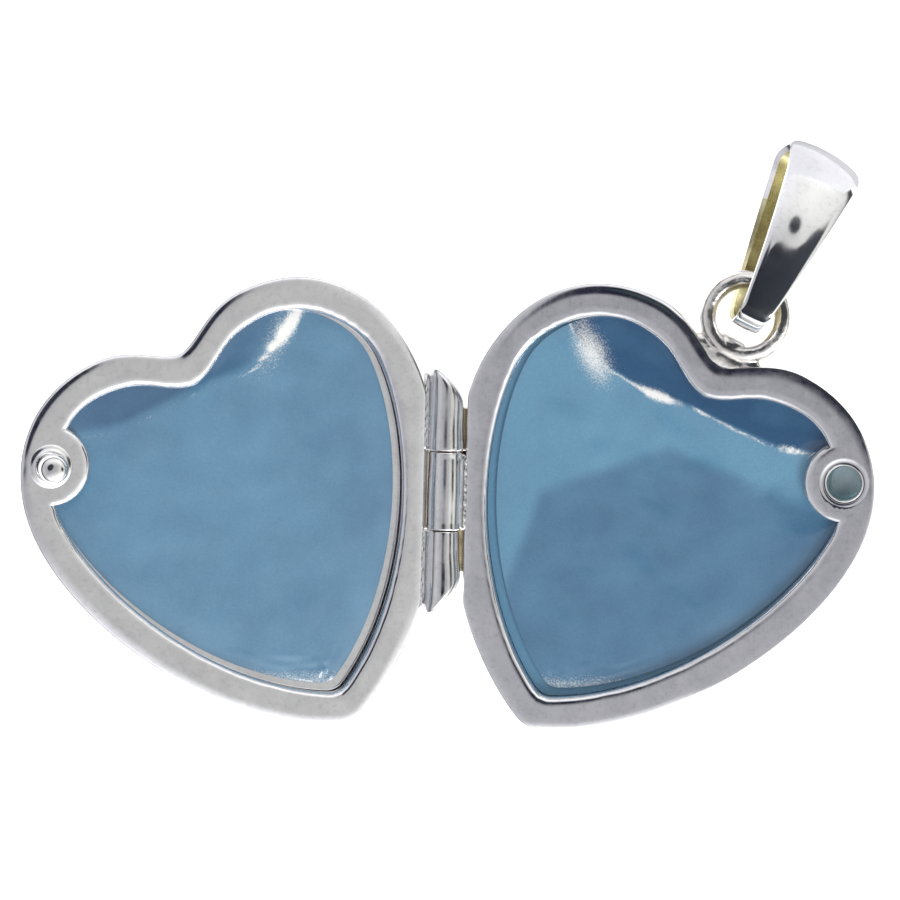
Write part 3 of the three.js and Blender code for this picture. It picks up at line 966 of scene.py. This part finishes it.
# Cards round the bail that show only as reflections, in millimetres from its pivot.
FLAG_HEIGHT = 6.7
DARK_CARD = [
    (-3, -1.8), (1.2, -4), (3, -6), (6, -6), (10, -3), (10, 4.2),
    (8.2, 4.6), (7, 4.3), (5.8, 3.5), (4.6, 3.1), (3.3, 3.3),
    (2.4, 3.9), (1.7, 4), (0.9, 3.6), (0.3, 3), (-2.1, 1),
]
FOOT_CARD = [(-3, -1.8, FLAG_HEIGHT), (1.2, -4, FLAG_HEIGHT), (2.4, -3.5, 1.7), (-1.8, -1.3, 1.7)]
LENS_CARD = {"x": 3.95, "y": 5.25, "radius": 0.85}
HEAD_CARD = {"x": 4.0, "y": 7.5, "radius": 7.0}
HEAD_WALL = {"ends": [(-4, 9.5), (12, 7.5)], "top": 4.5}

towards = Vector((VIEW_LEAN[0], VIEW_LEAN[1], 1)).normalized()
upright = (Vector((0, 1, 0)) - towards * towards.y).normalized()
sideways = upright.cross(towards)
up = upright * math.cos(VIEW_ROLL) - sideways * math.sin(VIEW_ROLL)
right = sideways * math.cos(VIEW_ROLL) + upright * math.sin(VIEW_ROLL)
eye = HINGE + right * VIEW_OFFSET[0] + up * VIEW_OFFSET[1] + towards * VIEW_DISTANCE

camera_data = bpy.data.cameras.new("camera")
camera_data.lens = LENS
camera_data.sensor_width = SENSOR_WIDTH
camera = bpy.data.objects.new("camera", camera_data)
camera.matrix_world = Matrix.Translation(eye) @ Matrix((right, up, towards)).transposed().to_4x4()
bpy.context.scene.collection.objects.link(camera)
bpy.context.scene.camera = camera


def sky():
    """A pale tent: grey overhead, brighter walls, a dark gap at the table, and the dark camera above."""
    world = bpy.data.worlds.new("studio")
    world.use_nodes = True
    bpy.context.scene.world = world
    nodes, links = world.node_tree.nodes, world.node_tree.links
    direction = nodes.new("ShaderNodeTexCoord").outputs["Generated"]

    def along(axis):
        dot = nodes.new("ShaderNodeVectorMath")
        dot.operation = "DOT_PRODUCT"
        dot.inputs[1].default_value = axis.normalized()
        links.new(direction, dot.inputs[0])
        return dot.outputs["Value"]

    def ramp(value, stops):
        node = nodes.new("ShaderNodeValToRGB")
        while len(node.color_ramp.elements) < len(stops):
            node.color_ramp.elements.new(0.5)
        for element, (position, colour) in zip(node.color_ramp.elements, stops):
            element.position = position
            element.color = (*colour, 1)
        links.new(value, node.inputs["Fac"])
        return node.outputs["Color"]

    def grey(*stops):
        return [(position, (level, level, level)) for position, level in stops]

    def within(degrees):
        return math.cos(math.radians(degrees))

    def mixed(a, b, blend, factor=None):
        mix = nodes.new("ShaderNodeMix")
        mix.data_type = "RGBA"
        mix.blend_type = blend
        mix.inputs["Factor"].default_value = 1.0
        if factor:
            links.new(factor, mix.inputs["Factor"])
        links.new(a, mix.inputs[6])
        links.new(b, mix.inputs[7])
        return mix.outputs[2]

    levels = [
        (0.0, 0.7), (0.03, 0.04), (0.22, 0.05), (0.34, 0.6),
        (0.6, 0.72), (0.85, 0.56), (0.95, 0.5), (1.0, 0.5),
    ]
    tent = ramp(along(Vector((0, 0, 1))), grey(*levels))
    tints = [(0.0, (0.92, 0.92, 0.97)), (0.3, (1.02, 1.02, 1.0)), (0.5, (1.3, 1.3, 1.27))]
    tint = ramp(along(Vector((1, 0, 0))), tints)
    window = ramp(along(Vector((0.3, -0.85, 0.4))), grey((0.58, 0), (0.92, 0.8)))
    far_wall = ramp(along(Vector((0.1, 0.95, 0.3))), grey((0.55, 0), (0.88, 0.45)))
    bright = mixed(mixed(mixed(tent, tint, "MULTIPLY"), window, "ADD"), far_wall, "ADD")
    lean = Vector((math.tan(math.radians(-6)), math.tan(math.radians(10.5)), 1))
    camera_shape = ramp(along(lean), grey((within(16.5), 0), (within(14), 1)))
    aside = Vector((math.tan(math.radians(49)), 0.05, 1))
    doorway = ramp(along(aside), grey((within(11), 1), (within(8), 0.03)))
    bright = mixed(bright, doorway, "MULTIPLY")
    camera_tones = [(within(7), (0.012, 0.012, 0.03)), (within(3), (0.05, 0.075, 0.08))]
    camera_tone = ramp(along(lean), camera_tones)
    links.new(mixed(bright, camera_tone, "MIX", camera_shape), nodes["Background"].inputs["Color"])


def paper(name, cloud, tones, glow):
    """Matt paper that may glow a little, with a faint cloud of about this size in millimetres."""
    m = Material(name)
    tone = m.ramp(m.noise(cloud, 3), (0.3, tones[0]), (0.7, tones[1]))
    return m.set(Base_Color=tone, Roughness=0.9, Emission_Color=tone, Emission_Strength=glow)


def stage_card(name, corners, tones, glow=0.0):
    """A card near the bail, seen only in reflections. Corners are in mm from the bail's pivot."""
    mesh = bpy.data.meshes.new(name)
    points = [BAIL_PIVOT + Vector(corner) * MM for corner in corners]
    mesh.from_pydata(points, [], [tuple(range(len(points)))])
    mesh.materials.append(paper(name, cloud=6, tones=tones, glow=glow))
    sheet = bpy.data.objects.new(name, mesh)
    sheet.visible_camera = False
    sheet.visible_shadow = False
    sheet.visible_diffuse = False
    bpy.context.scene.collection.objects.link(sheet)


def round_card(shape, height):
    corners = []
    for k in range(32):
        angle = 2 * math.pi * k / 32
        x = shape["x"] + shape["radius"] * math.cos(angle)
        y = shape["y"] + shape["radius"] * math.sin(angle)
        corners.append((x, y, height))
    return corners


def light(name, place, size, power, aim=HINGE):
    data = bpy.data.lights.new(name, "AREA")
    data.shape = "RECTANGLE"
    data.size, data.size_y = size
    data.energy = power
    lamp = bpy.data.objects.new(name, data)
    lamp.location = place
    lamp.rotation_euler = (aim - Vector(place)).to_track_quat("-Z", "Y").to_euler()
    bpy.context.scene.collection.objects.link(lamp)


def floor():
    mesh = bpy.data.meshes.new("floor")
    reach = 0.6
    corners = [(-reach, -reach, 0), (reach, -reach, 0), (reach, reach, 0), (-reach, reach, 0)]
    mesh.from_pydata(corners, [], [(0, 1, 2, 3)])
    tones = ((0.93, 0.93, 0.93), (0.96, 0.96, 0.96))
    mesh.materials.append(paper("paper", cloud=9, tones=tones, glow=0.75))
    plane = bpy.data.objects.new("floor", mesh)
    bpy.context.scene.collection.objects.link(plane)


sky()
floor()
BLACK = ((0.004, 0.005, 0.012), (0.012, 0.022, 0.03))
GREY = ((0.53, 0.53, 0.55), (0.57, 0.57, 0.59))
table = 0.1 - BAIL_PIVOT.z / MM
wall = [(x, y, table) for x, y in HEAD_WALL["ends"]]
wall += [(x, y, HEAD_WALL["top"]) for x, y in reversed(HEAD_WALL["ends"])]
stage_card("dark_card", [(x, y, FLAG_HEIGHT) for x, y in DARK_CARD], BLACK)
stage_card("foot_card", FOOT_CARD, BLACK)
stage_card("lens_card", round_card(LENS_CARD, FLAG_HEIGHT), BLACK)
stage_card("head_card", round_card(HEAD_CARD, table), GREY, glow=0.35)
stage_card("head_wall", wall, GREY, glow=0.35)
light("window", place=(0.2, -0.3, 0.3), size=(0.2, 0.2), power=0.9)
bpy.context.scene.view_settings.view_transform = "Standard"
